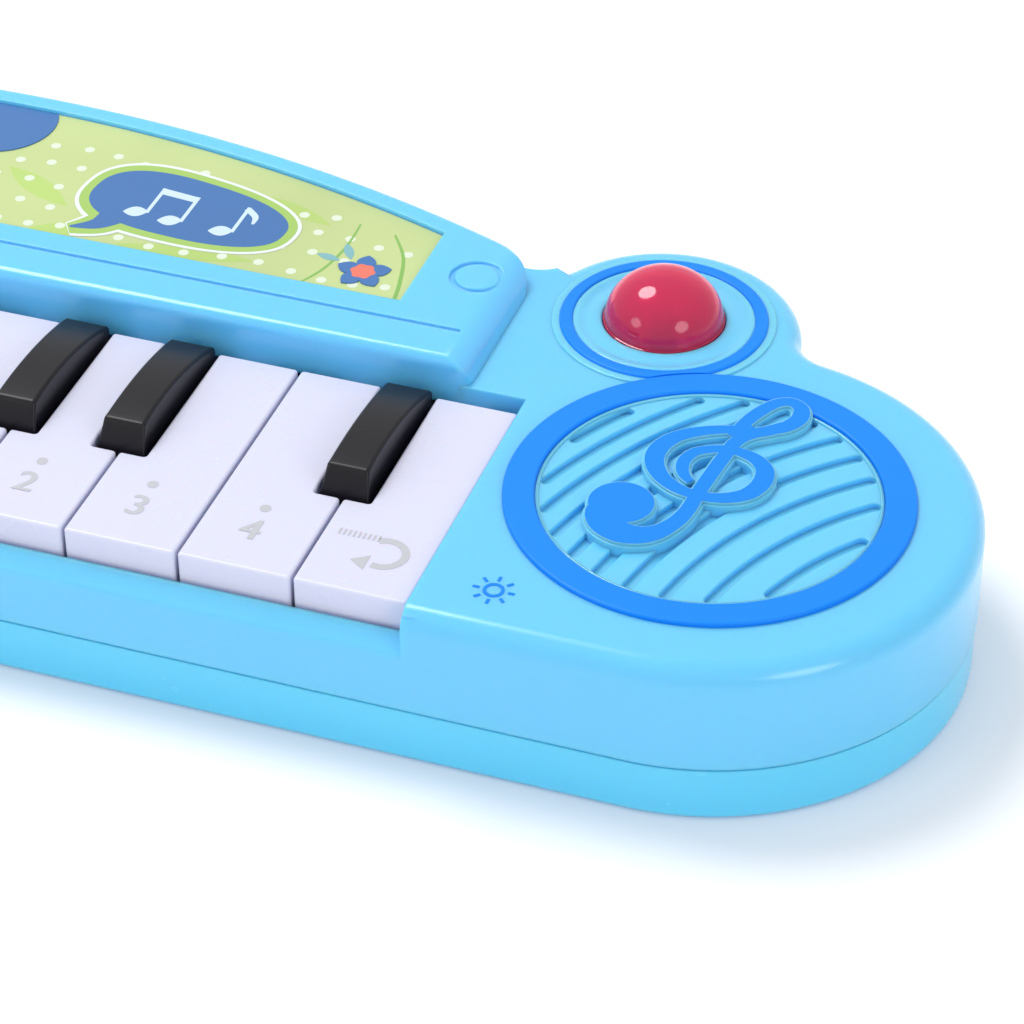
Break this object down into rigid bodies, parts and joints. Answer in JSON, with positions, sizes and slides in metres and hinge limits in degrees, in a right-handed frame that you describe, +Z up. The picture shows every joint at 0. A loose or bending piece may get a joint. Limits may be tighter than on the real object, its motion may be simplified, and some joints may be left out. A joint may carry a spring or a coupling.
{
  "type": "toy electronic keyboard",
  "caption": "Toy electronic keyboard with hinged black and white keys, round speaker grilles, red signal lamps and a raised label console.",
  "frame": {"origin": "centre of the underside, on the table", "axes": "+X along the row of keys from low to high notes, +Y away from the player, +Z up"},
  "size_m": [0.4046, 0.1202, 0.0407],
  "materials": {
    "sky_plastic": "glossy moulded light blue plastic",
    "deep_blue_paint": "deep blue paint on raised relief",
    "white_plastic": "satin white plastic",
    "black_plastic": "satin black plastic",
    "red_lens": "clear red plastic",
    "steel": "plain steel",
    "board_green": "green solder mask",
    "silicone": "grey silicone rubber",
    "paper_black": "black paper cone",
    "label_print": "printed glossy label",
    "cell_jacket": "printed cell jacket"
  },
  "bodies": {
    "case": {"upper_case": "sky_plastic", "lower_case": "sky_plastic", "battery_door": "sky_plastic", "console_label": "label_print", "key_pivot_rod": "steel", "key_contact_board": "board_green", "contact_strip": "silicone", "main_board": "board_green", "lamp_dome_left": "red_lens", "lamp_dome_right": "red_lens", "lamp_led_left": "red_lens", "lamp_led_right": "red_lens", "lamp_board_left": "board_green", "lamp_board_right": "board_green", "speaker_basket": "steel", "speaker_cone": "paper_black", "speaker_magnet": "steel", "battery_1": "cell_jacket", "battery_2": "cell_jacket", "battery_3": "cell_jacket", "battery_spring_1": "steel", "battery_spring_2": "steel", "battery_spring_3": "steel", "battery_contact_left": "steel", "battery_contact_right": "steel", "power_switch_body": "black_plastic", "battery_door_screw": "steel", "case_screw_1": "steel", "case_screw_2": "steel", "case_screw_3": "steel", "case_screw_4": "steel", "case_screw_5": "steel", "case_screw_6": "steel"},
    "white_key_01": {"white_key_01": "white_plastic"},
    "white_key_02": {"white_key_02": "white_plastic"},
    "white_key_03": {"white_key_03": "white_plastic"},
    "white_key_04": {"white_key_04": "white_plastic"},
    "white_key_05": {"white_key_05": "white_plastic"},
    "white_key_06": {"white_key_06": "white_plastic"},
    "white_key_07": {"white_key_07": "white_plastic"},
    "white_key_08": {"white_key_08": "white_plastic"},
    "white_key_09": {"white_key_09": "white_plastic"},
    "white_key_10": {"white_key_10": "white_plastic"},
    "white_key_11": {"white_key_11": "white_plastic"},
    "white_key_12": {"white_key_12": "white_plastic"},
    "black_key_01": {"black_key_01": "black_plastic"},
    "black_key_02": {"black_key_02": "black_plastic"},
    "black_key_03": {"black_key_03": "black_plastic"},
    "black_key_04": {"black_key_04": "black_plastic"},
    "black_key_05": {"black_key_05": "black_plastic"},
    "black_key_06": {"black_key_06": "black_plastic"},
    "black_key_07": {"black_key_07": "black_plastic"},
    "black_key_08": {"black_key_08": "black_plastic"},
    "power_switch_slider": {"power_switch_slider": "black_plastic"}
  },
  "joints": [
    {"name": "white_key_01_press", "type": "hinge", "parent": "case", "child": "white_key_01", "pos_m": [-0.11, 0.0071, 0.0244], "axis": [1, 0, 0], "range_deg": [0, 3], "stiffness_Nm_per_rad": 0.5, "springref_deg": -5.73},
    {"name": "white_key_02_press", "type": "hinge", "parent": "case", "child": "white_key_02", "pos_m": [-0.09, 0.0071, 0.0244], "axis": [1, 0, 0], "range_deg": [0, 3], "stiffness_Nm_per_rad": 0.5, "springref_deg": -5.73},
    {"name": "white_key_03_press", "type": "hinge", "parent": "case", "child": "white_key_03", "pos_m": [-0.07, 0.0071, 0.0244], "axis": [1, 0, 0], "range_deg": [0, 3], "stiffness_Nm_per_rad": 0.5, "springref_deg": -5.73},
    {"name": "white_key_04_press", "type": "hinge", "parent": "case", "child": "white_key_04", "pos_m": [-0.05, 0.0071, 0.0244], "axis": [1, 0, 0], "range_deg": [0, 3], "stiffness_Nm_per_rad": 0.5, "springref_deg": -5.73},
    {"name": "white_key_05_press", "type": "hinge", "parent": "case", "child": "white_key_05", "pos_m": [-0.03, 0.0071, 0.0244], "axis": [1, 0, 0], "range_deg": [0, 3], "stiffness_Nm_per_rad": 0.5, "springref_deg": -5.73},
    {"name": "white_key_06_press", "type": "hinge", "parent": "case", "child": "white_key_06", "pos_m": [-0.01, 0.0071, 0.0244], "axis": [1, 0, 0], "range_deg": [0, 3], "stiffness_Nm_per_rad": 0.5, "springref_deg": -5.73},
    {"name": "white_key_07_press", "type": "hinge", "parent": "case", "child": "white_key_07", "pos_m": [0.01, 0.0071, 0.0244], "axis": [1, 0, 0], "range_deg": [0, 3], "stiffness_Nm_per_rad": 0.5, "springref_deg": -5.73},
    {"name": "white_key_08_press", "type": "hinge", "parent": "case", "child": "white_key_08", "pos_m": [0.03, 0.0071, 0.0244], "axis": [1, 0, 0], "range_deg": [0, 3], "stiffness_Nm_per_rad": 0.5, "springref_deg": -5.73},
    {"name": "white_key_09_press", "type": "hinge", "parent": "case", "child": "white_key_09", "pos_m": [0.05, 0.0071, 0.0244], "axis": [1, 0, 0], "range_deg": [0, 3], "stiffness_Nm_per_rad": 0.5, "springref_deg": -5.73},
    {"name": "white_key_10_press", "type": "hinge", "parent": "case", "child": "white_key_10", "pos_m": [0.07, 0.0071, 0.0244], "axis": [1, 0, 0], "range_deg": [0, 3], "stiffness_Nm_per_rad": 0.5, "springref_deg": -5.73},
    {"name": "white_key_11_press", "type": "hinge", "parent": "case", "child": "white_key_11", "pos_m": [0.09, 0.0071, 0.0244], "axis": [1, 0, 0], "range_deg": [0, 3], "stiffness_Nm_per_rad": 0.5, "springref_deg": -5.73},
    {"name": "white_key_12_press", "type": "hinge", "parent": "case", "child": "white_key_12", "pos_m": [0.11, 0.0071, 0.0244], "axis": [1, 0, 0], "range_deg": [0, 3], "stiffness_Nm_per_rad": 0.5, "springref_deg": -5.73},
    {"name": "black_key_01_press", "type": "hinge", "parent": "case", "child": "black_key_01", "pos_m": [-0.1, 0.0071, 0.0244], "axis": [1, 0, 0], "range_deg": [0, 3], "stiffness_Nm_per_rad": 0.5, "springref_deg": -5.73},
    {"name": "black_key_02_press", "type": "hinge", "parent": "case", "child": "black_key_02", "pos_m": [-0.08, 0.0071, 0.0244], "axis": [1, 0, 0], "range_deg": [0, 3], "stiffness_Nm_per_rad": 0.5, "springref_deg": -5.73},
    {"name": "black_key_03_press", "type": "hinge", "parent": "case", "child": "black_key_03", "pos_m": [-0.04, 0.0071, 0.0244], "axis": [1, 0, 0], "range_deg": [0, 3], "stiffness_Nm_per_rad": 0.5, "springref_deg": -5.73},
    {"name": "black_key_04_press", "type": "hinge", "parent": "case", "child": "black_key_04", "pos_m": [-0.02, 0.0071, 0.0244], "axis": [1, 0, 0], "range_deg": [0, 3], "stiffness_Nm_per_rad": 0.5, "springref_deg": -5.73},
    {"name": "black_key_05_press", "type": "hinge", "parent": "case", "child": "black_key_05", "pos_m": [0, 0.0071, 0.0244], "axis": [1, 0, 0], "range_deg": [0, 3], "stiffness_Nm_per_rad": 0.5, "springref_deg": -5.73},
    {"name": "black_key_06_press", "type": "hinge", "parent": "case", "child": "black_key_06", "pos_m": [0.04, 0.0071, 0.0244], "axis": [1, 0, 0], "range_deg": [0, 3], "stiffness_Nm_per_rad": 0.5, "springref_deg": -5.73},
    {"name": "black_key_07_press", "type": "hinge", "parent": "case", "child": "black_key_07", "pos_m": [0.06, 0.0071, 0.0244], "axis": [1, 0, 0], "range_deg": [0, 3], "stiffness_Nm_per_rad": 0.5, "springref_deg": -5.73},
    {"name": "black_key_08_press", "type": "hinge", "parent": "case", "child": "black_key_08", "pos_m": [0.1, 0.0071, 0.0244], "axis": [1, 0, 0], "range_deg": [0, 3], "stiffness_Nm_per_rad": 0.5, "springref_deg": -5.73},
    {"name": "power_switch_slide", "type": "slide", "parent": "case", "child": "power_switch_slider", "axis": [1, 0, 0], "range_m": [0, 0.003]}
  ]
}
